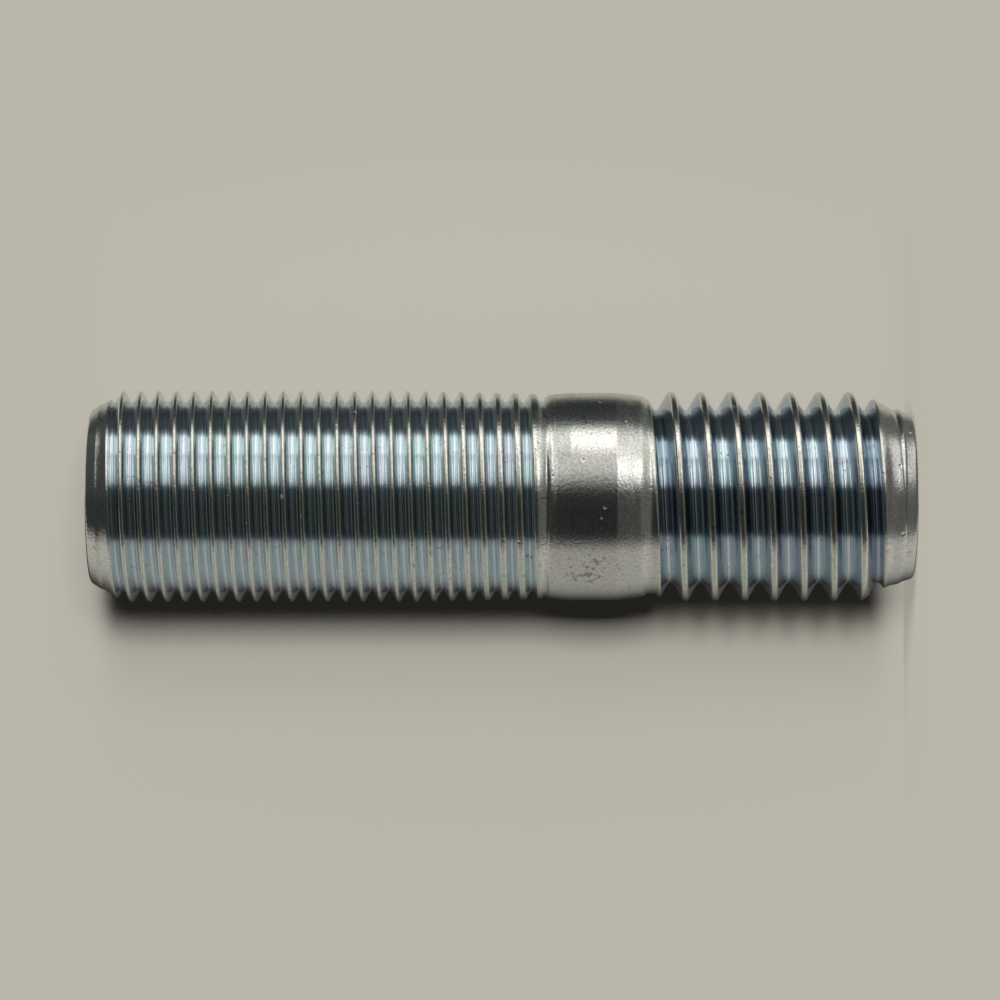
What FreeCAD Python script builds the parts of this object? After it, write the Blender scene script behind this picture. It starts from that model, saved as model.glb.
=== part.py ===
# Wheel stud: a double-ended stud, one piece of steel, turned to a blank and thread-rolled at both ends.
# Millimetres. The stud stands on its hub end, with +Z along its axis towards the nut end,
# and the origin is the centre of the hub end face.
import FreeCAD, Part
import os

import Sketcher
from FreeCAD import Vector

# Driving dimensions, each with what it measures.
DIMENSIONS = [
    ("hub_end_diameter", 13.7, "flat face of the hub end, before its edge is broken"),
    ("hub_point_length", 4.4, "long taper that leads the hub thread into its tapped hole"),
    ("hub_thread_diameter", 17.85, "size of the hub thread's sixty degree profile"),
    ("hub_crest_flattening", 0.125, "how far the rolled crests fall short of that size, on the radius"),
    ("hub_pitch", 2.5, "coarse pitch"),
    ("hub_crest_height", 20.9, "where the crests stop, above the hub end"),
    ("hub_last_groove_rise", 0.75, "from there to the last groove of full depth"),
    ("hub_runout_height", 1.6, "rise over which that groove fades out"),
    ("hub_neck_rise", 1.0, "from the last crest to the waist below the collar"),
    ("hub_neck_diameter", 16.6, "waist between the hub thread and the collar"),
    ("hub_taper_length", 3.2, "taper from the waist up to the collar's band"),
    ("collar_diameter", 17.5, "plain band between the threads"),
    ("collar_band_length", 3.8, "plain band along the axis"),
    ("nut_taper_length", 2.0, "taper from the band down to the nut thread"),
    ("nut_neck_diameter", 16.95, "waist between the collar and the nut thread"),
    ("nut_neck_rise", 0.6, "from that waist to the first crest"),
    ("nut_runout_diameter", 17.3, "nut thread over its low crests beside the collar"),
    ("nut_runout_length", 9.5, "length over which the crests reach their full height"),
    ("nut_crest_diameter", 17.8, "nut thread over its full crests"),
    ("nut_thread_length", 25.6, "full crests along the axis"),
    ("nut_point_length", 2.7, "chamfer at the nut end"),
    ("nut_end_diameter", 14.9, "flat face of the nut end, before its edge is broken"),
    ("end_edge_break", 0.3, "small bevel round both end faces"),
    ("groove_overlap", 0.1, "how far the groove's cutting section stands outside the crests"),
]

doc = FreeCAD.newDocument("wheel_stud")
sheet = doc.addObject("Spreadsheet::Sheet", "dimensions")
for row, (alias, size, meaning) in enumerate(DIMENSIONS, start=1):
    sheet.set("A%d" % row, alias)
    sheet.set("B%d" % row, str(size))
    sheet.set("C%d" % row, meaning)
    sheet.setAlias("B%d" % row, alias)
doc.recompute()


def size_of(expression):
    """The present value of an expression on the sheet, to place a sketch's first geometry."""
    value = sheet.evalExpression(expression)
    return float(getattr(value, "Value", value))


def origin_plane(body, role):
    return next(feature for feature in body.Origin.OriginFeatures if feature.Role == role)


def hold_corner(sketch, line, direction, axis, label, expression):
    """Ties the first point of a line to an axis, or to its distance from it."""
    if size_of(expression) == 0:
        sketch.addConstraint(Sketcher.Constraint("PointOnObject", line, 1, axis))
        return
    distance = Sketcher.Constraint(direction, -1, 1, line, 1, size_of(expression))
    sketch.renameConstraint(sketch.addConstraint(distance), label)
    sketch.setExpression("Constraints." + label, expression)


def half_section(body, name, corners):
    """A closed sketch in the XZ plane. Each corner is (name, radius, height), as expressions."""
    sketch = body.newObject("Sketcher::SketchObject", name)
    sketch.AttachmentSupport = (origin_plane(body, "XZ_Plane"), "")
    sketch.MapMode = "FlatFace"
    spots = [Vector(size_of(radius), size_of(height), 0) for _, radius, height in corners]
    for spot, following in zip(spots, spots[1:] + spots[:1]):
        sketch.addGeometry(Part.LineSegment(spot, following), False)
    upright_axis = -2
    level_axis = -1
    for line, (corner, radius, height) in enumerate(corners):
        following = (line + 1) % len(corners)
        sketch.addConstraint(Sketcher.Constraint("Coincident", line, 2, following, 1))
        hold_corner(sketch, line, "DistanceX", upright_axis, corner + "_radius", radius)
        hold_corner(sketch, line, "DistanceY", level_axis, corner + "_height", height)
    return sketch


def ends_of(shape, height, radius):
    """Names of the round edges of that radius at that height."""
    return ["Edge%d" % (index + 1) for index, edge in enumerate(shape.Edges)
            if isinstance(edge.Curve, Part.Circle)
            and abs(edge.Curve.Center.z - height) < 0.001
            and abs(edge.Curve.Radius - radius) < 0.001]


# The stud is one body, so everything below is a feature of it.
stud = doc.addObject("PartDesign::Body", "wheel_stud")
stud.Label = "wheel_stud"

# Radii of the hub thread. In a full profile the root lies 0.6495 pitches, three quarters of the
# height of a sharp thread, inside the size.
groove_depth = "(0.75 * cos(30) * dimensions.hub_pitch)"
root_radius = "(dimensions.hub_thread_diameter / 2 - %s)" % groove_depth
crest_radius = "(dimensions.hub_thread_diameter / 2 - dimensions.hub_crest_flattening)"

# Heights of the blank's corners, added up from the hub end.
waist_height = "(dimensions.hub_crest_height + dimensions.hub_neck_rise)"
band_foot = "(%s + dimensions.hub_taper_length)" % waist_height
band_head = "(%s + dimensions.collar_band_length)" % band_foot
nut_waist = "(%s + dimensions.nut_taper_length)" % band_head
runout_foot = "(%s + dimensions.nut_neck_rise)" % nut_waist
full_crest_foot = "(%s + dimensions.nut_runout_length)" % runout_foot
full_crest_head = "(%s + dimensions.nut_thread_length)" % full_crest_foot
nut_end = "(%s + dimensions.nut_point_length)" % full_crest_head

# The turned blank: tapered points, two waists, and the plain collar between them.
# The fine thread isn't cut in this solid: the nut side stands at the size over its crests.
blank = half_section(stud, "blank_section", [
    ("axis_at_hub_end", "0", "0"),
    ("hub_end", "dimensions.hub_end_diameter / 2", "0"),
    ("hub_point", crest_radius, "dimensions.hub_point_length"),
    ("hub_crest", crest_radius, "dimensions.hub_crest_height"),
    ("hub_waist", "dimensions.hub_neck_diameter / 2", waist_height),
    ("band_foot", "dimensions.collar_diameter / 2", band_foot),
    ("band_head", "dimensions.collar_diameter / 2", band_head),
    ("nut_waist", "dimensions.nut_neck_diameter / 2", nut_waist),
    ("runout_foot", "dimensions.nut_runout_diameter / 2", runout_foot),
    ("full_crest_foot", "dimensions.nut_crest_diameter / 2", full_crest_foot),
    ("full_crest_head", "dimensions.nut_crest_diameter / 2", full_crest_head),
    ("nut_end", "dimensions.nut_end_diameter / 2", nut_end),
    ("axis_at_nut_end", "0", nut_end),
])
turned = stud.newObject("PartDesign::Revolution", "turned_blank")
turned.Profile = blank
turned.ReferenceAxis = (blank, ["V_Axis"])
turned.Angle = 360
doc.recompute()

# The sharp edge round each end face is broken.
eased = stud.newObject("PartDesign::Chamfer", "broken_edges")
end_edges = ends_of(turned.Shape, 0, size_of("dimensions.hub_end_diameter / 2"))
end_edges += ends_of(turned.Shape, size_of(nut_end), size_of("dimensions.nut_end_diameter / 2"))
eased.Base = (turned, end_edges)
eased.setExpression("Size", "dimensions.end_edge_break")
doc.recompute()

# The hub thread's groove: sixty degree flanks and a flat root an eighth of the pitch wide.
mouth_radius = "(%s + dimensions.groove_overlap)" % crest_radius
root_half = "(dimensions.hub_pitch / 16)"
mouth_half = "(%s + (%s - %s) * tan(30))" % (root_half, mouth_radius, root_radius)
last_groove = "(dimensions.hub_crest_height + dimensions.hub_last_groove_rise)"
groove = half_section(stud, "hub_groove_section", [
    ("root_low", root_radius, "%s - %s" % (last_groove, root_half)),
    ("mouth_low", mouth_radius, "%s - %s" % (last_groove, mouth_half)),
    ("mouth_high", mouth_radius, "%s + %s" % (last_groove, mouth_half)),
    ("root_high", root_radius, "%s + %s" % (last_groove, root_half)),
])
doc.recompute()

# Upwards a right-hand helix lifts that section out of the steel, so the groove fades out
# below the collar.
hub_runout = stud.newObject("PartDesign::SubtractiveHelix", "hub_runout")
hub_runout.Profile = groove
hub_runout.ReferenceAxis = (groove, ["V_Axis"])
hub_runout.Mode = "pitch-height-angle"
hub_runout.setExpression("Pitch", "dimensions.hub_pitch")
hub_runout.setExpression("Height", "dimensions.hub_runout_height")
hub_runout.setExpression("Angle", "atan(%s / dimensions.hub_runout_height)" % groove_depth)
doc.recompute()

# Downwards the same helix carries it on past the hub end, one pitch to each turn.
hub_thread = stud.newObject("PartDesign::SubtractiveHelix", "hub_thread")
hub_thread.Profile = groove
hub_thread.ReferenceAxis = (groove, ["V_Axis"])
hub_thread.Mode = "pitch-height-angle"
hub_thread.Reversed = True
hub_thread.setExpression("Pitch", "dimensions.hub_pitch")
hub_thread.setExpression("Height", "%s + dimensions.hub_pitch" % last_groove)
stud.Tip = hub_thread
doc.recompute()

# Nothing is written unless every feature is sound.
for feature in doc.Objects:
    if "Invalid" in feature.State or "Error" in feature.State:
        raise RuntimeError(feature.Label + " did not build")
shape = stud.Shape
if shape.isNull() or not shape.isValid() or len(shape.Solids) != 1:
    raise RuntimeError("wheel_stud is not one sound solid")
if not hub_thread.Shape.Volume < hub_runout.Shape.Volume < eased.Shape.Volume:
    raise RuntimeError("a thread groove cut nothing")

os.makedirs("parts", exist_ok=True)
shape.exportStep("parts/wheel_stud.step")
print("wheel_stud: %.0f mm3, %.2f mm long" % (shape.Volume, size_of(nut_end)))
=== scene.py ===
"""Dresses the wheel stud: the helical skin of both threads, its zinc finish, and a small studio."""

import math

import bmesh
import bpy
from mathutils import Matrix, Vector


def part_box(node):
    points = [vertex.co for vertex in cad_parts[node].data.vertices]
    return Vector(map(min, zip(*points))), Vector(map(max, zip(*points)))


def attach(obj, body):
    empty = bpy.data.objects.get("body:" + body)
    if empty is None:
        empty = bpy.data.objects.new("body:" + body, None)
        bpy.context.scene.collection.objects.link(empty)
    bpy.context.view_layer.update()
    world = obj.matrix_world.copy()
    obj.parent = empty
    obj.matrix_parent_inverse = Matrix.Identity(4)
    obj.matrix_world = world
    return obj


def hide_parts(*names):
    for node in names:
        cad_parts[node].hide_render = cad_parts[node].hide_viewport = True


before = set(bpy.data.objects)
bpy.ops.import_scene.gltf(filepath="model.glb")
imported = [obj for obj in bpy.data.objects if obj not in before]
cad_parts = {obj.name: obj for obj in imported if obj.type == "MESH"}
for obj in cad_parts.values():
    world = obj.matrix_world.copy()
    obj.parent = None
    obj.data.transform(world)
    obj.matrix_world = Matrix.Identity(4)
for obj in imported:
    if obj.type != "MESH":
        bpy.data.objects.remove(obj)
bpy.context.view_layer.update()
STUD_LOW, STUD_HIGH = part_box("wheel_stud")
STUD_LENGTH = STUD_HIGH[2] - STUD_LOW[2]

bl_info = {
    "name": "Wheel Stud",
    "version": (1, 0, 0),
    "blender": (4, 5, 0),
    "location": "3D View > Sidebar > Wheel Stud",
    "description": "Adds a double-ended wheel stud with rolled threads and zinc plate",
    "category": "Add Mesh",
}

# A millimetre, in metres.
MM = 0.001
# Metric flanks are 60 degrees apart.
HALF_THREAD_ANGLE = math.radians(30)
# How finely every skin is divided round the axis.
STEPS_PER_TURN = 96
# Heights between which the two threaded skins run, so that each takes in the last of its grooves.
HUB_SKIN_LOW, HUB_SKIN_HIGH = 0.9 * MM, 23.7 * MM
NUT_SKIN_LOW, NUT_SKIN_HIGH = 30.3 * MM, 68.45 * MM
# How far a groove's bottom climbs over its run-out, which is enough to leave the steel.
RUNOUT_CLIMB = 1.8 * MM
# A groove is never taken as shallower than this, so that its mouth has a width.
LEAST_DEPTH = 0.05 * MM
# How often the mouth's width and the depth that goes with it are brought together.
MOUTH_PASSES = 3
# Handling wears a crest where the groove beside it is deeper than the first depth, and fully at
# the second. The wear starts at this share of the way from the groove's middle to its mouth.
WORN_DEPTHS = (0.3 * MM, 0.8 * MM)
WORN_FROM = 0.85
# Small steps of the turned outline. A ring on a point thickens towards the thread, and the hub's
# ring rises from the taper before it. The hub's land lies between two short slopes.
HUB_RING_EDGE_LENGTH, HUB_RING_EDGE_HEIGHT = 0.1 * MM, 0.15 * MM
HUB_RING_TAPER, NUT_RING_TAPER = 0.17 * MM, 0.11 * MM
HUB_CREST_FALL = 0.8 * MM
COLLAR_FOOT_RISE = 0.28 * MM
# Turned corners are eased by an average over this much to each side.
CORNER_EASING = 0.06 * MM
# Vertices closer than this are one, and edges shorter than the second length are dropped.
WELD, SHORTEST_EDGE = 0.001 * MM, 0.0001 * MM


def linear(hex_colour):
    """An sRGB hex colour as the linear colour that Blender's nodes take."""
    levels = [int(hex_colour[place:place + 2], 16) / 255 for place in (1, 3, 5)]
    return [level / 12.92 if level < 0.04045 else ((level + 0.055) / 1.055) ** 2.4 for level in levels]


def length(name, millimetres, description):
    """A length property: its default is given in millimetres."""
    return bpy.props.FloatProperty(
        name=name, description=description, default=millimetres * MM, min=0.0, precision=5, unit="LENGTH")


def colour(name, hex_colour, description):
    """A colour property: its default is given as an sRGB hex colour."""
    return bpy.props.FloatVectorProperty(
        name=name, description=description, default=linear(hex_colour), size=3, min=0.0, max=1.0,
        subtype="COLOR")


class StudSizes(bpy.types.PropertyGroup):
    """Sizes of the blank and of the two rolled threads"""

    hub_end_diameter: length("Hub End Diameter", 13.8, "Flat face of the hub end")
    hub_point_length: length("Hub Point Length", 4.4, "Long taper at the hub end")
    hub_ring_diameter: length("Hub Ring Diameter", 14.7, "Last crest, rolled almost flat on the taper")
    hub_ring_low: length("Hub Ring Low Edge", 1.1, "Where that ring starts")
    hub_ring_high: length("Hub Ring High Edge", 2.05, "Where that ring ends")
    hub_crest_diameter: length("Hub Crest Diameter", 17.6, "Coarse thread over its crests")
    hub_root_diameter: length("Hub Root Diameter", 14.6, "Coarse thread at the bottom of its groove")
    hub_root_flat: length("Hub Root Flat", 0.36, "Flat at the bottom of the coarse groove")
    hub_pitch: length("Hub Pitch", 2.5, "Rise of the coarse thread in one turn")
    hub_crest_height: length("Hub Crest Height", 20.9, "Where the coarse crests stop")
    hub_last_groove: length("Hub Last Groove", 21.65, "Height of the last full groove, on the +X side")
    hub_runout: length("Hub Run-out", 1.6, "Rise over which that groove fades out")
    hub_land_diameter: length("Hub Land Diameter", 16.4, "Narrow land between the thread and the collar")
    collar_foot_diameter: length("Collar Foot Diameter", 16.92, "Collar's taper where it starts")
    collar_foot_height: length("Collar Foot Height", 22.78, "Where the collar's taper starts")
    collar_diameter: length("Collar Diameter", 17.5, "Plain band between the threads")
    collar_band_low: length("Band Low Edge", 25.1, "Where the plain band starts")
    collar_band_high: length("Band High Edge", 28.9, "Where the plain band ends")
    nut_taper_knee_diameter: length("Taper Knee Diameter", 17.3, "Bend in the taper down to the waist")
    nut_taper_knee_height: length("Taper Knee Height", 30.05, "Height of that bend")
    nut_shoulder_diameter: length("Nut Shoulder Diameter", 17.12, "Step at the foot of that taper")
    nut_shoulder_height: length("Nut Shoulder Height", 30.72, "Height of the step")
    nut_neck_diameter: length("Nut Neck Diameter", 16.72, "Waist between the collar and the nut thread")
    nut_neck_height: length("Nut Neck Height", 30.9, "Height of that waist")
    nut_low_crest_diameter: length("Nut Low Crests", 17.3, "Fine thread over its crests beside the waist")
    nut_low_crest_height: length("Nut Low Crest Height", 31.5, "Height of the first of those crests")
    nut_full_crest_height: length("Nut Full Crest Height", 41.0, "Where the crests reach their full size")
    nut_crest_diameter: length("Nut Crest Diameter", 17.78, "Fine thread over its full crests")
    nut_root_diameter: length("Nut Root Diameter", 15.98, "Fine thread at the bottom of its groove")
    nut_root_flat: length("Nut Root Flat", 0.24, "Flat at the bottom of the fine groove")
    nut_pitch: length("Nut Pitch", 1.5, "Rise of the fine thread in one turn")
    nut_last_groove: length("Nut Last Groove", 31.32, "Height of the last full groove, on the +X side")
    nut_runout: length("Nut Run-out", 0.65, "Drop over which that groove fades out")
    nut_point_length: length("Nut Point Length", 2.7, "Chamfer at the nut end")
    nut_ring_diameter: length("Nut Ring Diameter", 15.54, "First crest, rolled almost flat on the chamfer")
    nut_ring_start: length("Nut Ring Start", 0.85, "Where that ring starts, below the nut end")
    nut_ring_end: length("Nut Ring End", 1.2, "Where that ring ends, below the nut end")
    nut_end_diameter: length("Nut End Diameter", 14.5, "Flat face of the nut end")
    edge_break: length("Edge Break", 0.3, "Rounding of both end faces' edges")


class StudFinish(bpy.types.PropertyGroup):
    """Colours of the zinc plate and of what has marked it"""

    zinc: colour("Zinc", "#EBE9E0", "Bright plate on the plain turned surfaces")
    worn_crest: colour("Worn Crest", "#EDEBDD", "Creamy metal where handling has rubbed the crests")
    # The two thread films are a blue passivate tint, darkened as painted shade on the groove flanks.
    nut_film_and_shade: colour("Nut Thread Film And Shade", "#D4DFE2", "Pale blue film on the fine thread's flanks")
    hub_film_and_shade: colour("Hub Thread Film And Shade", "#B1BEC7", "Bluer film on the coarse thread's flanks")
    root_film: colour("Root Film", "#DFE9EB", "Thin film at the bottom of the grooves")
    nick: colour("Nick", "#F4F2EA", "Freshly dented metal")
    stain: colour("Stain", "#7A6952", "Thin brown stain")


class StudStudio(bpy.types.PropertyGroup):
    """Colour of the backdrop and the floor"""

    backdrop: colour("Backdrop", "#BAB6AA", "Pale grey paper behind and under the stud")


class ThreadShape:
    """One thread's groove: where it runs, how deep it is and where it fades out."""

    def __init__(self, pitch, root_diameter, root_flat, last_groove, runout, crest_ease, root_ease):
        self.pitch = pitch
        self.root = root_diameter / 2
        self.root_half = root_flat / 2
        self.last_groove = last_groove
        self.runout = runout
        self.crest_ease = crest_ease
        self.root_ease = root_ease

    def groove_near(self, point):
        """Height of the groove's middle that is nearest to a point, at that point's own angle."""
        rise = self.pitch * math.atan2(point.y, point.x) / math.tau
        turns = round((point.z - self.last_groove - rise) / self.pitch)
        return self.last_groove + rise + turns * self.pitch

    def root_at(self, middle):
        """Radius of the groove's bottom: past its last full turn it climbs out of the metal."""
        past = (middle - self.last_groove) / self.runout
        return self.root + RUNOUT_CLIMB * min(max(past, 0.0), 1.0)


def share_of(value, low, high):
    """How far a value has come from a low mark to a high one, from 0 to 1."""
    return min(max((value - low) / (high - low), 0.0), 1.0)


def smallest(a, b, blend):
    """The smaller of two lengths, with the corner between them rounded over a length."""
    if blend <= 0:
        return min(a, b)
    near = max(blend - abs(a - b), 0.0) / blend
    return min(a, b) - near * near * blend / 4


def on_polyline(corners, height):
    """Radius at a height on a line through (height, radius) corners."""
    for (low, low_radius), (high, high_radius) in zip(corners, corners[1:]):
        if height <= high:
            share = max((height - low) / (high - low), 0.0)
            return low_radius + share * (high_radius - low_radius)
    return corners[-1][1]


class Blank:
    """The turned blank that both threads were rolled on."""

    def __init__(self, sizes):
        self.corners = [
            (0.0, sizes.hub_end_diameter / 2),
            (sizes.hub_ring_low - HUB_RING_EDGE_LENGTH, sizes.hub_ring_diameter / 2 - HUB_RING_EDGE_HEIGHT),
            (sizes.hub_ring_low, sizes.hub_ring_diameter / 2),
            (sizes.hub_ring_high, sizes.hub_ring_diameter / 2 + HUB_RING_TAPER),
            (sizes.hub_point_length, sizes.hub_crest_diameter / 2),
            (sizes.hub_crest_height, sizes.hub_crest_diameter / 2),
            (sizes.hub_crest_height + HUB_CREST_FALL, sizes.hub_land_diameter / 2),
            (sizes.collar_foot_height - COLLAR_FOOT_RISE, sizes.hub_land_diameter / 2),
            (sizes.collar_foot_height, sizes.collar_foot_diameter / 2),
            (sizes.collar_band_low, sizes.collar_diameter / 2),
            (sizes.collar_band_high, sizes.collar_diameter / 2),
            (sizes.nut_taper_knee_height, sizes.nut_taper_knee_diameter / 2),
            (sizes.nut_shoulder_height, sizes.nut_shoulder_diameter / 2),
            (sizes.nut_neck_height, sizes.nut_neck_diameter / 2),
            (sizes.nut_low_crest_height, sizes.nut_low_crest_diameter / 2),
            (sizes.nut_full_crest_height, sizes.nut_crest_diameter / 2),
            (STUD_LENGTH - sizes.nut_point_length, sizes.nut_crest_diameter / 2),
            (STUD_LENGTH - sizes.nut_ring_end, sizes.nut_ring_diameter / 2 + NUT_RING_TAPER),
            (STUD_LENGTH - sizes.nut_ring_start, sizes.nut_ring_diameter / 2),
            (STUD_LENGTH, sizes.nut_end_diameter / 2),
        ]

    def radius(self, height, easing=CORNER_EASING):
        """Radius at a height, averaged over a short length so that the turned corners are eased."""
        spots = [height + easing * share for share in (-1.0, -0.5, 0.0, 0.5, 1.0)]
        radii = [on_polyline(self.corners, min(max(spot, 0.0), STUD_LENGTH)) for spot in spots]
        return sum(radii) / len(radii)


# Places across half a groove, from its middle to the crest's middle, as (zone, share of the zone).
COARSE_STATIONS = [
    ("root", 0.0), ("root", 0.5), ("root", 1.0),
    ("flank", 0.08), ("flank", 0.16), ("flank", 0.25), ("flank", 0.5), ("flank", 0.82), ("flank", 0.91),
    ("crest", 0.0), ("crest", 0.3), ("crest", 0.65), ("crest", 1.0),
]
FINE_STATIONS = [
    ("root", 0.0), ("root", 0.6), ("root", 1.0),
    ("flank", 0.1), ("flank", 0.22), ("flank", 0.6), ("flank", 0.9),
    ("crest", 0.0), ("crest", 0.5), ("crest", 1.0),
]


def zone_place(zone, share, root_half, mouth_half, pitch):
    """A station's distance from the middle of the groove."""
    if zone == "root":
        return share * root_half
    if zone == "flank":
        return root_half + share * (mouth_half - root_half)
    return mouth_half + share * (pitch / 2 - mouth_half)


def spin_once(bm, outline, rise, closed):
    """Spins an outline of (radius, height) places one turn round the axis, rising as it goes."""
    chain = [bm.verts.new((radius, 0.0, height)) for radius, height in outline]
    edges = [bm.edges.new(pair) for pair in zip(chain, chain[1:])]
    bmesh.ops.spin(
        bm, geom=chain + edges, cent=(0, 0, 0), axis=(0, 0, 1), dvec=(0, 0, rise / STEPS_PER_TURN),
        angle=math.tau, space=Matrix.Identity(4), steps=STEPS_PER_TURN, use_merge=closed,
        use_normal_flip=False, use_duplicate=False)


def repeat_turn(bm, already, pitch, turns):
    """Copies a thread's first turn, which is all that wasn't in the mesh already, up to the last turn."""
    first_turn = [vert for vert in bm.verts if vert not in already]
    first_turn += [edge for edge in bm.edges if edge.verts[0] not in already]
    first_turn += [face for face in bm.faces if face.verts[0] not in already]
    for turn in range(1, turns):
        repeat = bmesh.ops.duplicate(bm, geom=first_turn)["geom"]
        moved = [item for item in repeat if isinstance(item, bmesh.types.BMVert)]
        bmesh.ops.translate(bm, verts=moved, vec=(0, 0, pitch * turn))


def groove_mouth(blank, thread, middle, side, mouth):
    """Depth and half-width of a groove where its flank leaves the blank, on one side of its middle."""
    for _ in range(MOUTH_PASSES):
        depth = max(blank.radius(middle + side * mouth) - thread.root_at(middle), LEAST_DEPTH)
        mouth = thread.root_half + depth * math.tan(HALF_THREAD_ANGLE)
    return depth, mouth


def roll_thread(bm, blank, thread, stations, low, high):
    """Adds a thread's skin between two heights: turns of its outline, pressed into the blank's shape."""
    already = set(bm.verts)
    pitch = thread.pitch
    crest_radius = max(radius for height, radius in blank.corners if low <= height <= high)
    nominal_mouth = thread.root_half + (crest_radius - thread.root) * math.tan(HALF_THREAD_ANGLE)
    half = [zone_place(zone, share, thread.root_half, nominal_mouth, pitch) for zone, share in stations]
    start = thread.last_groove - pitch * math.ceil((thread.last_groove - low) / pitch + 1)
    heights = half + [pitch - place for place in reversed(half[:-1])]
    spin_once(bm, [(crest_radius, start + height) for height in heights], rise=pitch, closed=False)
    repeat_turn(bm, already, pitch, turns=math.ceil((high - start) / pitch))
    depth_layer = bm.verts.layers.float["groove_depth"]
    crest_layer = bm.verts.layers.float["thread_crest"]
    lay_layer = bm.verts.layers.float_vector["rolling_lay"]
    for vert in bm.verts:
        if vert in already:
            continue
        middle = thread.groove_near(vert.co)
        offset = vert.co.z - middle
        side = math.copysign(1.0, offset)
        station = min(range(len(half)), key=lambda index: abs(half[index] - abs(offset)))
        zone, share = stations[station]
        depth, mouth = groove_mouth(blank, thread, middle, side, nominal_mouth)
        place = zone_place(zone, share, thread.root_half, mouth, pitch)
        height = min(max(middle + side * place, low), high)
        root = thread.root_at(middle)
        flank = root + (place - thread.root_half) / math.tan(HALF_THREAD_ANGLE)
        groove = -smallest(-flank, -root, thread.root_ease)
        outside = blank.radius(height)
        easing = thread.crest_ease * share_of(outside - root, 0.0, thread.crest_ease)
        radius = smallest(groove, outside, easing)
        step = round(math.atan2(vert.co.y, vert.co.x) / math.tau * STEPS_PER_TURN)
        angle = math.tau * step / STEPS_PER_TURN
        vert.co = (radius * math.cos(angle), radius * math.sin(angle), height)
        vert[depth_layer] = min(max((outside - radius) / (crest_radius - thread.root), 0.0), 1.0)
        vert[crest_layer] = share_of(depth, *WORN_DEPTHS) * share_of(place / mouth, WORN_FROM, 1.0)
        # Along a groove only the height of this place changes, so the rolling lines run along it.
        around = math.tau * (height - middle) / pitch
        vert[lay_layer] = Vector((
            pitch / math.tau * math.cos(around), pitch / math.tau * math.sin(around), height))


def turn_plain(bm, outline):
    """Adds a plain turned skin: an outline of (radius, height) places, spun once round the axis."""
    already = set(bm.verts)
    spin_once(bm, outline, rise=0.0, closed=True)
    lay_layer = bm.verts.layers.float_vector["rolling_lay"]
    for vert in bm.verts:
        if vert not in already:
            vert[lay_layer] = Vector((vert.co.xy.length, 0.0, vert.co.z))


def end_outline(blank, height, face, direction, edge_break):
    """An end's outline: from a height on its taper, round the eased edge, to the middle of its face."""
    edge = blank.radius(face, easing=0.0)
    run = direction * 1.0 * MM
    taper = Vector((blank.radius(face + run, easing=0.0) - edge, run))
    taper.normalize()
    on_taper = Vector((edge, face)) + taper * edge_break
    corner = Vector((edge, face))
    on_face = Vector((edge - edge_break, face))
    outline = [(blank.radius(height, easing=0.0), height)]
    edge_steps = 6
    for step in range(edge_steps + 1):
        share = step / edge_steps
        spot = (1 - share) ** 2 * on_taper + 2 * share * (1 - share) * corner + share ** 2 * on_face
        outline.append((spot.x, spot.y))
    outline += [(edge - 2 * edge_break, face), (edge / 2, face), (0.0, face)]
    return outline


def collar_outline(blank, low, high):
    """The collar's outline, with places close together beside its eased corners."""
    places = {low, high}
    beside_corner = (-0.3, -0.1, -0.05, 0.0, 0.05, 0.1, 0.3)
    for height, _ in blank.corners:
        if low < height < high:
            places.update(height + spread * MM for spread in beside_corner)
    even_steps = 12
    places.update(low + (high - low) * step / even_steps for step in range(even_steps + 1))
    least_gap = 0.02 * MM
    kept = []
    for height in sorted(places):
        if low <= height <= high and (not kept or height - kept[-1] > least_gap):
            kept.append(height)
    return [(blank.radius(height), height) for height in kept]


def add_node(tree, kind, inputs=None, **settings):
    """Adds a node: settings are its own attributes, inputs are values or sockets for its sockets."""
    node = tree.nodes.new(kind)
    for setting, value in settings.items():
        setattr(node, setting, value)
    for socket, value in (inputs or {}).items():
        if isinstance(value, bpy.types.NodeSocket):
            tree.links.new(value, node.inputs[socket])
        else:
            node.inputs[socket].default_value = value
    return node


def fill_ramp(node, stops):
    """Gives a Color Ramp its stops, each a place and a linear colour."""
    ramp = node.color_ramp
    while len(ramp.elements) < len(stops):
        ramp.elements.new(1.0)
    for element, (place, shade) in zip(ramp.elements, stops):
        element.position = place
        element.color = (*shade, 1.0)


def new_material(name):
    """An empty node material with its output node."""
    material = bpy.data.materials.new(name)
    material.use_nodes = True
    material.node_tree.nodes.clear()
    output = add_node(material.node_tree, "ShaderNodeOutputMaterial")
    return material, material.node_tree, output


# Sockets of a Mix node, which has a set of them for each type of data, all with the same names.
COLOUR_A, COLOUR_B, COLOUR_RESULT = 6, 7, 2
NUMBER_FACTOR, NUMBER_A, NUMBER_B, NUMBER_RESULT = 0, 2, 3, 0
# Sizes of what marks the plate.
FILM_DRIFT = 3 * MM
FROST_PATCH = 1.6 * MM
GRAIN = 0.22 * MM
STAIN_SPECK = 0.55 * MM
NICK_SPACING = 1.9 * MM
LINE_SPACING = 0.14 * MM
# The brown stain is thickest at this place, on one side of the collar's band.
STAINED_PLACE = (-6.2 * MM, -6.2 * MM, 27.5 * MM)
# Heights on the collar's lower taper where the fine thread's film and painted shade give way to the hub's.
HUB_FILM_AND_SHADE_START, HUB_FILM_AND_SHADE_FULL = 25 * MM, 23 * MM
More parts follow.
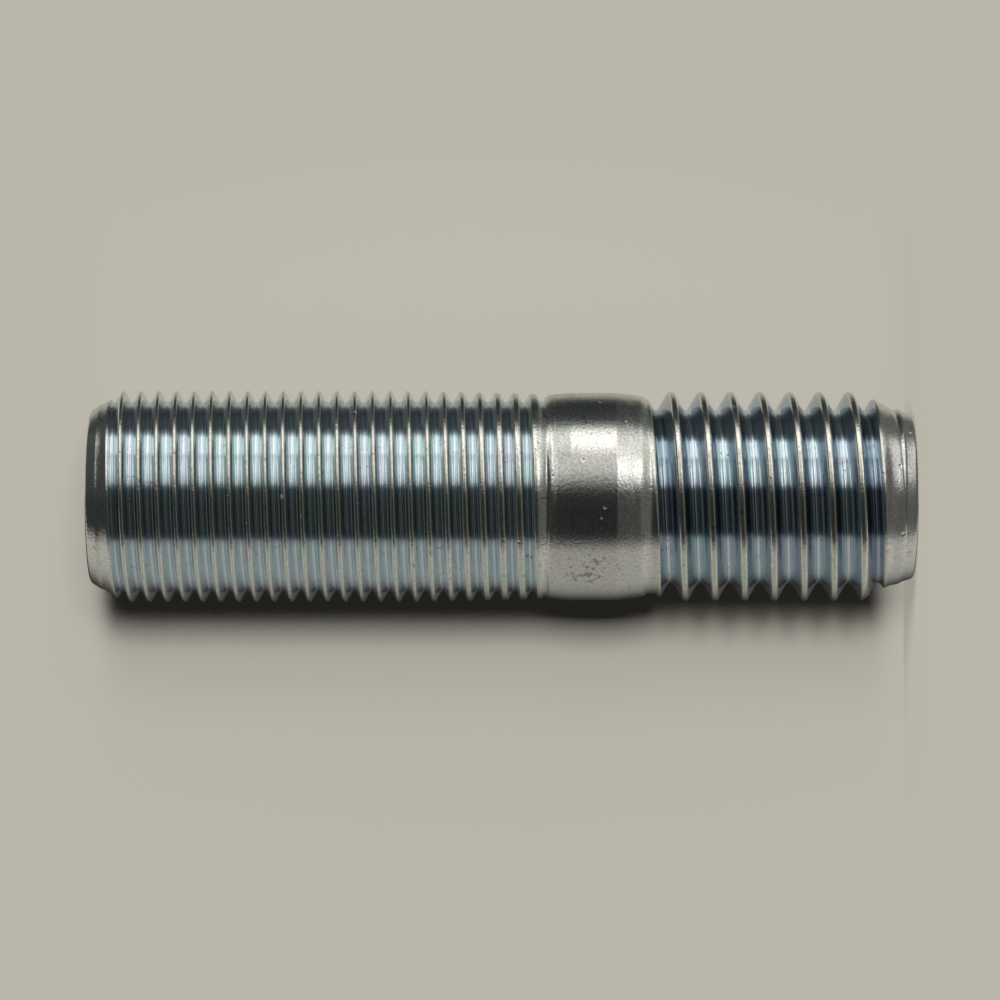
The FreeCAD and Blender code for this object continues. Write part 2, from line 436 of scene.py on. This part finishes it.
# Single dents on the side that faces the camera, as a place in mm and a reach in mm.
DENTS = [
    ((0.0, -8.8, 52.9), 0.28), ((1.4, -8.7, 41.0), 0.24), ((0.7, -8.8, 60.5), 0.16),
    ((0.1, -8.85, 57.4), 0.14), ((-2.2, -8.5, 55.8), 0.14), ((-2.4, -8.5, 54.4), 0.16),
    ((5.2, -7.2, 58.9), 0.16), ((5.0, -5.6, 68.6), 0.16), ((4.2, -7.0, 68.3), 0.14),
    ((-1.8, -8.5, 26.4), 0.16), ((6.3, -6.0, 24.3), 0.14), ((-0.6, -8.8, 46.5), 0.12),
]


def plate_colour(tree, finish, place, groove_depth, sheltered):
    """The plate's colour: a blue film in the grooves, darkened on the flanks as painted shade, and creamy
    worn crests.
    """
    crest = add_node(tree, "ShaderNodeAttribute", attribute_name="thread_crest")
    height = add_node(tree, "ShaderNodeSeparateXYZ", {"Vector": place})
    bottom = add_node(tree, "ShaderNodeMapRange", {
        "Value": groove_depth, "From Min": 0.80, "From Max": 0.95})
    hub_side = add_node(tree, "ShaderNodeMapRange", {
        "Value": height.outputs["Z"], "From Min": HUB_FILM_AND_SHADE_START, "From Max": HUB_FILM_AND_SHADE_FULL})

    # The flanks carry a blue film, darker than the zinc as painted shade, and bluest and darkest at the
    # hub.
    flank = add_node(tree, "ShaderNodeMix", {
        "Factor": hub_side.outputs["Result"], COLOUR_A: (*finish.nut_film_and_shade, 1.0),
        COLOUR_B: (*finish.hub_film_and_shade, 1.0)}, data_type="RGBA")
    groove = add_node(tree, "ShaderNodeMix", {
        "Factor": bottom.outputs["Result"], COLOUR_A: flank.outputs[COLOUR_RESULT],
        COLOUR_B: (*finish.root_film, 1.0)}, data_type="RGBA")
    plate = add_node(tree, "ShaderNodeMix", {
        "Factor": sheltered, COLOUR_A: (*finish.zinc, 1.0), COLOUR_B: groove.outputs[COLOUR_RESULT]},
        data_type="RGBA")
    body = add_node(tree, "ShaderNodeMix", {
        "Factor": crest.outputs["Fac"], COLOUR_A: plate.outputs[COLOUR_RESULT],
        COLOUR_B: (*finish.worn_crest, 1.0)}, data_type="RGBA")

    # The film's thickness drifts, between a green and a violet cast.
    drift = add_node(tree, "ShaderNodeTexNoise", {
        "Vector": place, "Scale": 1 / FILM_DRIFT, "Detail": 2.0})
    cast = add_node(tree, "ShaderNodeValToRGB", {"Fac": drift.outputs["Fac"]})
    fill_ramp(cast, [(0.35, (0.955, 1.0, 0.97)), (0.5, (1.0, 1.0, 1.0)), (0.65, (1.0, 0.97, 1.0))])
    tinted = add_node(tree, "ShaderNodeMix", {
        "Factor": 1.0, COLOUR_A: body.outputs[COLOUR_RESULT], COLOUR_B: cast.outputs["Color"]},
        data_type="RGBA", blend_type="MULTIPLY")
    return tinted.outputs[COLOUR_RESULT]


def dulled_and_stained(tree, finish, place, plate, exposed, grain):
    """The plate's colour with its duller grains, outside the grooves, and a thin brown stain."""
    dull = add_node(tree, "ShaderNodeMapRange", {
        "Value": grain, "From Min": 0.58, "From Max": 0.42, "To Min": 1.0, "To Max": 0.82})
    dull_plain = add_node(tree, "ShaderNodeMix", {
        NUMBER_FACTOR: exposed, NUMBER_A: 1.0, NUMBER_B: dull.outputs["Result"]}, data_type="FLOAT")
    grained = add_node(tree, "ShaderNodeVectorMath", {
        0: plate, "Scale": dull_plain.outputs[NUMBER_RESULT]}, operation="SCALE")

    # The stain comes in small specks, which lie closer together near its thickest place.
    speck = add_node(tree, "ShaderNodeTexNoise", {
        "Vector": place, "Scale": 1 / STAIN_SPECK, "Detail": 3.0, "Roughness": 0.6})
    from_patch = add_node(tree, "ShaderNodeVectorMath", {
        0: place, 1: STAINED_PLACE}, operation="DISTANCE")
    patch_reach = add_node(tree, "ShaderNodeMapRange", {
        "Value": from_patch.outputs["Value"], "From Min": 2.6 * MM, "From Max": 1.0 * MM,
        "To Min": 0.64, "To Max": 0.5})
    speck_level = add_node(tree, "ShaderNodeMath", {
        0: speck.outputs["Fac"], 1: patch_reach.outputs["Result"]}, operation="SUBTRACT")
    stained = add_node(tree, "ShaderNodeMapRange", {
        "Value": speck_level.outputs["Value"], "From Min": 0.0, "From Max": 0.08, "To Max": 0.6})
    stained_colour = add_node(tree, "ShaderNodeMix", {
        "Factor": stained.outputs["Result"], COLOUR_A: grained.outputs["Vector"],
        COLOUR_B: (*finish.stain, 1.0)}, data_type="RGBA")
    return stained_colour.outputs[COLOUR_RESULT]


def dent_mask(tree, place):
    """How far the surface lies inside one of the single dents, from 0 to 1."""
    dented = add_node(tree, "ShaderNodeValue")
    dented.outputs[0].default_value = 0.0
    for spot, reach in DENTS:
        from_dent = add_node(tree, "ShaderNodeVectorMath", {
            0: place, 1: [part * MM for part in spot]}, operation="DISTANCE")
        inside = add_node(tree, "ShaderNodeMapRange", {
            "Value": from_dent.outputs["Value"], "From Min": reach * MM, "From Max": 0.6 * reach * MM})
        dented = add_node(tree, "ShaderNodeMath", {
            0: dented.outputs[0], 1: inside.outputs["Result"]}, operation="MAXIMUM")
    return dented.outputs[0]


def plate_relief(tree, place, exposed, grain):
    """The fine relief: nicks outside the grooves, grains that are faint in them, and rolled lines."""
    # Nicks from handling, about 0.4 mm across, on the crests and the plain faces.
    nick = add_node(tree, "ShaderNodeTexVoronoi", {"Vector": place, "Scale": 1 / NICK_SPACING})
    nick_depth = add_node(tree, "ShaderNodeMapRange", {
        "Value": nick.outputs["Distance"], "From Min": 0.11, "From Max": 0.03, "To Max": -1.0})
    nicks = add_node(tree, "ShaderNodeMath", {
        0: nick_depth.outputs["Result"], 1: exposed}, operation="MULTIPLY")
    nick_bump = add_node(tree, "ShaderNodeBump", {
        "Strength": 0.8, "Distance": 0.05 * MM, "Height": nicks.outputs["Value"]})
    grain_depth = add_node(tree, "ShaderNodeMapRange", {
        "Value": exposed, "To Min": 0.14, "To Max": 0.85})
    grain_bump = add_node(tree, "ShaderNodeBump", {
        "Strength": grain_depth.outputs["Result"], "Distance": 0.022 * MM,
        "Height": grain, "Normal": nick_bump.outputs["Normal"]})
    # The rolling dies leave lines that run along the grooves.
    lay = add_node(tree, "ShaderNodeAttribute", attribute_name="rolling_lay")
    stretched = add_node(tree, "ShaderNodeMapping", {
        "Vector": lay.outputs["Vector"], "Scale": (1.0, 1.0, 0.12)})
    lines = add_node(tree, "ShaderNodeTexNoise", {
        "Vector": stretched.outputs["Vector"], "Scale": 1 / LINE_SPACING, "Detail": 1.0})
    line_bump = add_node(tree, "ShaderNodeBump", {
        "Strength": 0.17, "Distance": 0.02 * MM, "Height": lines.outputs["Fac"],
        "Normal": grain_bump.outputs["Normal"]})
    return line_bump.outputs["Normal"]


def bright_zinc_plate(finish):
    """Bright zinc electroplate over rolled and turned steel, passivated pale blue.

    The rolled grooves are cool, streaked mirrors. The crests and the plain faces between them are
    creamier, and finely grained.
    """
    material, tree, output = new_material("bright_zinc_plate_blue_passivate")
    coordinates = add_node(tree, "ShaderNodeTexCoord")
    place = coordinates.outputs["Object"]
    depth = add_node(tree, "ShaderNodeAttribute", attribute_name="groove_depth")
    sheltered = add_node(tree, "ShaderNodeMapRange", {
        "Value": depth.outputs["Fac"], "From Min": 0.02, "From Max": 0.18})
    exposed = add_node(tree, "ShaderNodeMath", {
        0: 1.0, 1: sheltered.outputs["Result"]}, operation="SUBTRACT")
    grain = add_node(tree, "ShaderNodeTexNoise", {
        "Vector": place, "Scale": 1 / GRAIN, "Detail": 4.0, "Roughness": 0.65})

    plate = plate_colour(tree, finish, place, depth.outputs["Fac"], sheltered.outputs["Result"])
    colour_seen = dulled_and_stained(
        tree, finish, place, plate, exposed.outputs["Value"], grain.outputs["Fac"])

    # Plain turned faces are frosted in patches; the dies have burnished the grooves.
    patch = add_node(tree, "ShaderNodeTexNoise", {
        "Vector": place, "Scale": 1 / FROST_PATCH, "Detail": 2.0})
    frost = add_node(tree, "ShaderNodeMapRange", {
        "Value": patch.outputs["Fac"], "From Min": 0.35, "From Max": 0.65, "To Min": 0.07,
        "To Max": 0.14})
    roughness = add_node(tree, "ShaderNodeMix", {
        NUMBER_FACTOR: sheltered.outputs["Result"], NUMBER_A: frost.outputs["Result"],
        NUMBER_B: 0.085}, data_type="FLOAT")

    # The metal of a fresh dent is pale and matt.
    dented = dent_mask(tree, place)
    dented_colour = add_node(tree, "ShaderNodeMix", {
        "Factor": dented, COLOUR_A: colour_seen, COLOUR_B: (*finish.nick, 1.0)}, data_type="RGBA")
    dented_roughness = add_node(tree, "ShaderNodeMix", {
        NUMBER_FACTOR: dented, NUMBER_A: roughness.outputs[NUMBER_RESULT], NUMBER_B: 0.5},
        data_type="FLOAT")
    surface = add_node(tree, "ShaderNodeBsdfPrincipled", {
        "Base Color": dented_colour.outputs[COLOUR_RESULT], "Metallic": 1.0,
        "Roughness": dented_roughness.outputs[NUMBER_RESULT],
        "Normal": plate_relief(tree, place, exposed.outputs["Value"], grain.outputs["Fac"])})
    tree.links.new(surface.outputs["BSDF"], output.inputs["Surface"])
    return material


class WHEELSTUD_OT_add_stud(bpy.types.Operator):
    """Model the stud with both threads rolled and give it its zinc plate"""

    bl_idname = "mesh.wheel_stud_add"
    bl_label = "Add Wheel Stud"
    bl_options = {"REGISTER", "UNDO"}

    def execute(self, context):
        sizes = context.scene.wheel_stud_sizes
        blank = Blank(sizes)
        hub_thread = ThreadShape(
            sizes.hub_pitch, sizes.hub_root_diameter, sizes.hub_root_flat, sizes.hub_last_groove,
            sizes.hub_runout, crest_ease=0.14 * MM, root_ease=0.25 * MM)
        nut_thread = ThreadShape(
            sizes.nut_pitch, sizes.nut_root_diameter, sizes.nut_root_flat, sizes.nut_last_groove,
            -sizes.nut_runout, crest_ease=0.06 * MM, root_ease=0.07 * MM)
        bm = bmesh.new()
        bm.verts.layers.float.new("groove_depth")
        bm.verts.layers.float.new("thread_crest")
        bm.verts.layers.float_vector.new("rolling_lay")
        roll_thread(bm, blank, hub_thread, COARSE_STATIONS, HUB_SKIN_LOW, HUB_SKIN_HIGH)
        roll_thread(bm, blank, nut_thread, FINE_STATIONS, NUT_SKIN_LOW, NUT_SKIN_HIGH)
        turn_plain(bm, end_outline(blank, HUB_SKIN_LOW, 0.0, 1, sizes.edge_break))
        turn_plain(bm, collar_outline(blank, HUB_SKIN_HIGH, NUT_SKIN_LOW))
        turn_plain(bm, end_outline(blank, NUT_SKIN_HIGH, STUD_LENGTH, -1, sizes.edge_break))
        bmesh.ops.remove_doubles(bm, verts=bm.verts, dist=WELD)
        bmesh.ops.dissolve_degenerate(bm, edges=bm.edges, dist=SHORTEST_EDGE)
        bmesh.ops.recalc_face_normals(bm, faces=bm.faces)
        for face in bm.faces:
            face.smooth = True
        mesh = bpy.data.meshes.new("stud")
        bm.to_mesh(mesh)
        bm.free()
        stud = bpy.data.objects.new("stud", mesh)
        context.collection.objects.link(stud)
        mesh.materials.append(bright_zinc_plate(context.scene.wheel_stud_finish))
        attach(stud, "root")
        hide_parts("wheel_stud")
        return {"FINISHED"}


# The paper's shadow fades out between these distances from its middle. Along the stud it fades
# beside both points, between the second pair of distances, down to the share that follows.
SHADOW_FADE_START, SHADOW_FADE_END = 18 * MM, 34 * MM
POINT_FADE_START, POINT_FADE_END = 32.3 * MM, 35.0 * MM
POINT_SHADOW = 0.35


def paper_material(name, studio, middle, squeeze, shadow_depth, one_sided):
    """Matt backdrop paper that only the lens sees. Its shadow fades into the backdrop's colour.

    The fade goes by the distance from the middle, after each axis has been scaled by squeeze.
    """
    material, tree, output = new_material(name)
    coordinates = add_node(tree, "ShaderNodeTexCoord")
    paint = add_node(tree, "ShaderNodeBsdfDiffuse", {"Color": (*studio.backdrop, 1.0)})
    shade = add_node(tree, "ShaderNodeEmission", {"Color": (*studio.backdrop, 1.0), "Strength": 1.0})
    centred = add_node(tree, "ShaderNodeVectorMath", {
        0: coordinates.outputs["Object"], 1: middle}, operation="SUBTRACT")
    squeezed = add_node(tree, "ShaderNodeVectorMath", {
        0: centred.outputs["Vector"], 1: squeeze}, operation="MULTIPLY")
    away = add_node(tree, "ShaderNodeVectorMath", {0: squeezed.outputs["Vector"]}, operation="LENGTH")
    near = add_node(tree, "ShaderNodeMapRange", {
        "Value": away.outputs["Value"], "From Min": SHADOW_FADE_START, "From Max": SHADOW_FADE_END,
        "To Min": shadow_depth, "To Max": 0.0}, interpolation_type="SMOOTHSTEP")
    along = add_node(tree, "ShaderNodeSeparateXYZ", {"Vector": centred.outputs["Vector"]})
    distance_along = add_node(tree, "ShaderNodeMath", {0: along.outputs["Z"]}, operation="ABSOLUTE")
    beside_stud = add_node(tree, "ShaderNodeMapRange", {
        "Value": distance_along.outputs["Value"], "From Min": POINT_FADE_START,
        "From Max": POINT_FADE_END, "To Min": 1.0, "To Max": POINT_SHADOW},
        interpolation_type="SMOOTHSTEP")
    shaded = add_node(tree, "ShaderNodeMath", {
        0: near.outputs["Result"], 1: beside_stud.outputs["Result"]}, operation="MULTIPLY")
    paper = add_node(tree, "ShaderNodeMixShader", {
        0: shaded.outputs["Value"], 1: shade.outputs["Emission"], 2: paint.outputs["BSDF"]})
    light_path = add_node(tree, "ShaderNodeLightPath")
    geometry = add_node(tree, "ShaderNodeNewGeometry")
    shown = add_node(tree, "ShaderNodeMath", {
        0: light_path.outputs["Is Camera Ray"],
        1: geometry.outputs["Backfacing"] if one_sided else 0.0}, operation="SUBTRACT", use_clamp=True)
    clear = add_node(tree, "ShaderNodeBsdfTransparent")
    surface = add_node(tree, "ShaderNodeMixShader", {
        0: shown.outputs["Value"], 1: clear.outputs["BSDF"], 2: paper.outputs["Shader"]})
    tree.links.new(surface.outputs["Shader"], output.inputs["Surface"])
    return material


# Tints of the room's light.
DUSK = (0.80, 0.92, 1.0)
PAPER = (1.0, 0.98, 0.90)
PLAIN = (1.0, 1.0, 0.97)
WOOD = (1.0, 0.95, 0.80)
# The room round the stud's axis, by angle from the lens in degrees, as a brightness and its tint.
# Positive angles are towards the top of the picture.
ROOM_RING = [
    (-180, 0.02, PAPER), (-155, 0.05, PAPER), (-140, 0.17, PLAIN), (-128, 0.28, PLAIN),
    (-110, 0.35, PLAIN), (-64, 0.35, PLAIN), (-57, 0.25, PLAIN), (-52, 0.06, DUSK), (-46, 0.022, DUSK),
    (-14, 0.020, DUSK), (0, 0.027, DUSK), (12, 0.04, DUSK), (90, 0.06, DUSK), (104, 0.055, DUSK),
    (125, 0.035, DUSK), (138, 0.09, PAPER), (148, 0.40, PAPER), (180, 0.43, PAPER),
]
# The softbox by the same angle, as a brightness.
SOFTBOX_RING = [
    (-180, 0.0), (8, 0.0), (13, 0.08), (19, 0.36), (30, 0.56), (45, 0.60), (48, 0.50), (51, 0.50),
    (54, 0.64), (77, 0.66), (86, 0.10), (93, 0.0), (180, 0.0),
]
# How strongly the softbox shows from one end of the stud to the other, by the direction's Z:
# two narrow panels in it are hotter, and it ends sooner on the nut end's side.
SOFTBOX_ALONG = [
    (-0.78, 0.0), (-0.66, 0.4), (-0.42, 0.4), (-0.39, 0.9), (-0.35, 0.9), (-0.32, 0.4), (0.25, 0.4),
    (0.29, 0.9), (0.46, 0.9), (0.50, 0.4), (0.60, 0.4), (0.70, 0.0),
]
# Where SOFTBOX_ALONG has this strength, the softbox is as bright as SOFTBOX_RING says.
FULL_PANEL = 0.4
# The softbox's hotter band: its brightness, the angles it lies between in front of the stud, how
# far it drops towards the hub end's side, and half the width of its soft edges.
HOT_BAND_LEVEL = 0.9
HOT_BAND_LOW, HOT_BAND_HIGH = math.radians(54), math.radians(80)
HOT_BAND_DROP = math.radians(40)
HOT_BAND_EDGE = 0.04
# By the direction's Z: where the band starts to drop and has dropped, and then where each of its
# ends is dark and where it is full.
HOT_BAND_BEND = (-0.08, -0.26)
HOT_BAND_NUT_END, HOT_BAND_HUB_END = (0.10, 0.07), (-0.45, -0.40)
# Light that is added to the room, by the direction's Z, as a brightness and its tint.
ROOM_ALONG = [
    (-0.92, 0.05, PLAIN), (-0.82, 0.09, PLAIN), (-0.45, 0.09, PLAIN), (-0.05, 0.0, PLAIN),
    (0.05, 0.0, WOOD), (0.35, 0.02, WOOD), (0.8, 0.012, WOOD),
]
# How much stronger the room shows towards its two ends, by the direction's Z.
ROOM_GAIN = [(-0.8, 1.25), (-0.4, 1.0), (0.4, 1.0), (0.75, 1.3)]
# How much further round the room reaches towards both of its ends.
ROOM_SPREAD = 0.35


def ramp_stops(levels, low, high):
    """Stops of a ramp from a low mark to a high one: each level is (mark, brightness, perhaps a tint)."""
    stops = []
    for mark, level, *tints in levels:
        tint = tints[0] if tints else (1.0, 1.0, 1.0)
        stops.append(((mark - low) / (high - low), [level * part for part in tint]))
    return stops


def hot_band(tree, angle, along):
    """The softbox's hotter band: level in front of the stud, dropping towards the hub end's side."""
    bend_start, bend_end = HOT_BAND_BEND
    dropped = add_node(tree, "ShaderNodeMapRange", {
        "Value": along, "From Min": bend_start, "From Max": bend_end, "To Max": HOT_BAND_DROP})
    bent = add_node(tree, "ShaderNodeMath", {0: angle, 1: dropped.outputs["Result"]}, operation="ADD")
    above = add_node(tree, "ShaderNodeMapRange", {
        "Value": bent.outputs["Value"], "From Min": HOT_BAND_LOW - HOT_BAND_EDGE,
        "From Max": HOT_BAND_LOW + HOT_BAND_EDGE, "To Max": HOT_BAND_LEVEL})
    band = add_node(tree, "ShaderNodeMapRange", {
        "Value": bent.outputs["Value"], "From Min": HOT_BAND_HIGH + HOT_BAND_EDGE,
        "From Max": HOT_BAND_HIGH - HOT_BAND_EDGE, "To Max": above.outputs["Result"]})
    for dark, full in (HOT_BAND_NUT_END, HOT_BAND_HUB_END):
        band = add_node(tree, "ShaderNodeMapRange", {
            "Value": along, "From Min": dark, "From Max": full, "To Max": band.outputs["Result"]})
    return band.outputs["Result"]


def studio_world(studio):
    """A soft studio: a dark room, pale paper below, and a broad softbox with a hotter bent band."""
    world = bpy.data.worlds.new("soft_studio")
    world.use_nodes = True
    tree = world.node_tree
    tree.nodes.clear()
    coordinates = add_node(tree, "ShaderNodeTexCoord")
    direction = add_node(tree, "ShaderNodeSeparateXYZ", {"Vector": coordinates.outputs["Generated"]})
    along_squared = add_node(tree, "ShaderNodeMath", {
        0: direction.outputs["Z"], 1: direction.outputs["Z"]}, operation="MULTIPLY")
    reach = add_node(tree, "ShaderNodeMath", {
        0: along_squared.outputs["Value"], 1: ROOM_SPREAD}, operation="MULTIPLY")
    towards_lens = add_node(tree, "ShaderNodeMath", {
        0: reach.outputs["Value"], 1: direction.outputs["Y"]}, operation="SUBTRACT")
    angle = add_node(tree, "ShaderNodeMath", {
        0: direction.outputs["X"], 1: towards_lens.outputs["Value"]}, operation="ARCTAN2")
    place = add_node(tree, "ShaderNodeMapRange", {
        "Value": angle.outputs["Value"], "From Min": -math.pi, "From Max": math.pi})
    place_along = add_node(tree, "ShaderNodeMapRange", {
        "Value": direction.outputs["Z"], "From Min": -1.0, "From Max": 1.0})
    room = add_node(tree, "ShaderNodeValToRGB", {"Fac": place.outputs["Result"]})
    fill_ramp(room, ramp_stops(ROOM_RING, -180, 180))
    box = add_node(tree, "ShaderNodeValToRGB", {"Fac": place.outputs["Result"]})
    fill_ramp(box, ramp_stops(SOFTBOX_RING, -180, 180))
    along = add_node(tree, "ShaderNodeValToRGB", {"Fac": place_along.outputs["Result"]})
    fill_ramp(along, ramp_stops(SOFTBOX_ALONG, -1, 1))
    side = add_node(tree, "ShaderNodeValToRGB", {"Fac": place_along.outputs["Result"]})
    fill_ramp(side, ramp_stops(ROOM_ALONG, -1, 1))
    gain = add_node(tree, "ShaderNodeValToRGB", {"Fac": place_along.outputs["Result"]})
    fill_ramp(gain, ramp_stops(ROOM_GAIN, -1, 1))

    panels = add_node(tree, "ShaderNodeMath", {
        0: along.outputs["Color"], 1: 1 / FULL_PANEL}, operation="MULTIPLY")
    softbox = add_node(tree, "ShaderNodeMath", {
        0: box.outputs["Color"], 1: panels.outputs["Value"],
        2: hot_band(tree, angle.outputs["Value"], direction.outputs["Z"])}, operation="MULTIPLY_ADD")
    room_light = add_node(tree, "ShaderNodeVectorMath", {
        0: room.outputs["Color"], 1: gain.outputs["Color"], 2: side.outputs["Color"]},
        operation="MULTIPLY_ADD")
    light = add_node(tree, "ShaderNodeVectorMath", {
        0: room_light.outputs["Vector"], 1: softbox.outputs["Value"]}, operation="ADD")
    # Light that has left the paper counts no further, because the paper has lamps of its own.
    light_path = add_node(tree, "ShaderNodeLightPath")
    off_paper = add_node(tree, "ShaderNodeMath", {
        0: 1.0, 1: light_path.outputs["Diffuse Depth"]}, operation="SUBTRACT", use_clamp=True)
    lit = add_node(tree, "ShaderNodeBackground", {
        "Color": light.outputs["Vector"], "Strength": off_paper.outputs["Value"]})
    seen = add_node(tree, "ShaderNodeBackground", {
        "Color": (*studio.backdrop, 1.0), "Strength": 1.0})
    either = add_node(tree, "ShaderNodeMixShader", {
        0: light_path.outputs["Is Camera Ray"], 1: lit.outputs["Background"],
        2: seen.outputs["Background"]})
    add_node(tree, "ShaderNodeOutputWorld", {"Surface": either.outputs["Shader"]})
    world.cycles_visibility.diffuse = False
    return world


def paper_lamp(context, name, paper, towards, distance, size, power):
    """An area lamp that lights one sheet of paper only, so that the stud's shadow shows on it."""
    lamp_data = bpy.data.lights.new(name, "AREA")
    lamp_data.shape = "RECTANGLE"
    lamp_data.size, lamp_data.size_y = size
    lamp_data.energy = power
    lamp = bpy.data.objects.new(name, lamp_data)
    context.collection.objects.link(lamp)
    target = Vector((0.0, 0.0, STUD_LENGTH / 2))
    away = Vector(towards).normalized()
    turn = away.to_track_quat("Z", "Y").to_matrix().to_4x4()
    lamp.matrix_world = Matrix.Translation(target + distance * away) @ turn
    lamp.visible_camera = False
    lamp.visible_glossy = False
    lit_paper = bpy.data.collections.new(name + "_paper")
    lit_paper.objects.link(paper)
    lamp.light_linking.receiver_collection = lit_paper
    blockers = bpy.data.collections.new(name + "_blockers")
    blockers.objects.link(bpy.data.objects["stud"])
    lamp.light_linking.blocker_collection = blockers


def add_sheet(context, name, bm, material):
    """Puts a sheet of backdrop paper into the scene."""
    mesh = bpy.data.meshes.new(name)
    bm.to_mesh(mesh)
    bm.free()
    mesh.materials.append(material)
    sheet = bpy.data.objects.new(name, mesh)
    context.collection.objects.link(sheet)
    return sheet


# The floor and the upright card behind the stud, which nearly touches it.
FLOOR_RADIUS = 0.3
CARD_HALF_SIDE = 0.075
CARD_BEHIND = 9.2 * MM
CARD_SHADOW_MIDDLE = (0.0, 0.0, 35.5 * MM)
# At 0.43 m this lens shows the stud at the photo's 11.85 pixels to the millimetre.
CAMERA_LENS, CAMERA_SENSOR = 183.4, 36.0
CAMERA_PLACE = (-0.29 * MM, -0.430, 34.8 * MM)
CAMERA_NEAREST = 0.01


def add_camera(context):
    """The photo's camera: it lies on its side, so its right is -Z and its up is +X."""
    camera_data = bpy.data.cameras.new("camera")
    camera_data.lens = CAMERA_LENS
    camera_data.sensor_width = CAMERA_SENSOR
    camera_data.clip_start = CAMERA_NEAREST
    camera = bpy.data.objects.new("camera", camera_data)
    context.collection.objects.link(camera)
    rolled = Matrix(((0, 1, 0), (0, 0, -1), (-1, 0, 0)))
    camera.matrix_world = Matrix.Translation(CAMERA_PLACE) @ rolled.to_4x4()
    context.scene.camera = camera


class WHEELSTUD_OT_set_stage(bpy.types.Operator):
    """Set up the floor, the backdrop, the soft light and the camera"""

    bl_idname = "scene.wheel_stud_stage"
    bl_label = "Set Up Stage"
    bl_options = {"REGISTER", "UNDO"}

    def execute(self, context):
        scene = context.scene
        studio = scene.wheel_stud_studio
        floor_bm = bmesh.new()
        bmesh.ops.create_circle(floor_bm, cap_ends=True, segments=64, radius=FLOOR_RADIUS)
        floor = add_sheet(context, "floor", floor_bm, paper_material(
            "floor_paper", studio, middle=(0.0, 0.0, 0.0), squeeze=(1.0, 1.0, 0.0), shadow_depth=0.32,
            one_sided=False))

        card_bm = bmesh.new()
        bmesh.ops.create_grid(card_bm, x_segments=1, y_segments=1, size=CARD_HALF_SIDE)
        bmesh.ops.rotate(card_bm, verts=card_bm.verts, cent=(0, 0, 0),
                         matrix=Matrix.Rotation(math.pi / 2, 3, "X"))
        bmesh.ops.translate(card_bm, verts=card_bm.verts, vec=(0.0, CARD_BEHIND, STUD_LENGTH / 2))
        bmesh.ops.bisect_plane(card_bm, geom=card_bm.verts[:] + card_bm.edges[:] + card_bm.faces[:],
                               plane_co=(0, 0, 0), plane_no=(0, 0, -1), clear_outer=True)
        card = add_sheet(context, "backdrop_card", card_bm, paper_material(
            "backdrop_paper", studio, middle=CARD_SHADOW_MIDDLE, squeeze=(1.0, 0.0, 0.45),
            shadow_depth=0.97, one_sided=True))

        paper_lamp(context, "card_lamp", card, towards=(0.277, -1.0, 0.0), distance=0.5,
                   size=(0.12, 0.15), power=1.84)
        paper_lamp(context, "card_fill", card, towards=(0.50, -1.0, 0.03), distance=0.5,
                   size=(0.32, 0.26), power=1.05)
        paper_lamp(context, "floor_lamp", floor, towards=(0.45, -1.0, 1.3), distance=1.0,
                   size=(0.50, 0.50), power=13.6)
        scene.world = studio_world(studio)
        add_camera(context)
        scene.view_settings.view_transform = "Standard"
        return {"FINISHED"}


class WHEELSTUD_PT_panel(bpy.types.Panel):
    """Lists the stud's operators, sizes and colours"""

    bl_idname = "WHEELSTUD_PT_panel"
    bl_label = "Wheel Stud"
    bl_space_type = "VIEW_3D"
    bl_region_type = "UI"
    bl_category = "Wheel Stud"

    def draw(self, context):
        layout = self.layout
        layout.operator(WHEELSTUD_OT_add_stud.bl_idname)
        layout.operator(WHEELSTUD_OT_set_stage.bl_idname)
        for settings in (context.scene.wheel_stud_sizes, context.scene.wheel_stud_finish,
                         context.scene.wheel_stud_studio):
            box = layout.box()
            for name in settings.__annotations__:
                box.prop(settings, name)


CLASSES = (
    StudSizes, StudFinish, StudStudio, WHEELSTUD_OT_add_stud, WHEELSTUD_OT_set_stage,
    WHEELSTUD_PT_panel,
)


def register():
    for cls in CLASSES:
        bpy.utils.register_class(cls)
    bpy.types.Scene.wheel_stud_sizes = bpy.props.PointerProperty(type=StudSizes)
    bpy.types.Scene.wheel_stud_finish = bpy.props.PointerProperty(type=StudFinish)
    bpy.types.Scene.wheel_stud_studio = bpy.props.PointerProperty(type=StudStudio)


def unregister():
    del bpy.types.Scene.wheel_stud_sizes
    del bpy.types.Scene.wheel_stud_finish
    del bpy.types.Scene.wheel_stud_studio
    for cls in reversed(CLASSES):
        bpy.utils.unregister_class(cls)


def main():
    """Registers the add-on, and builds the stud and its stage."""
    register()
    bpy.ops.mesh.wheel_stud_add()
    bpy.ops.scene.wheel_stud_stage()
    bpy.context.view_layer.update()


if __name__ == "__main__":
    main()
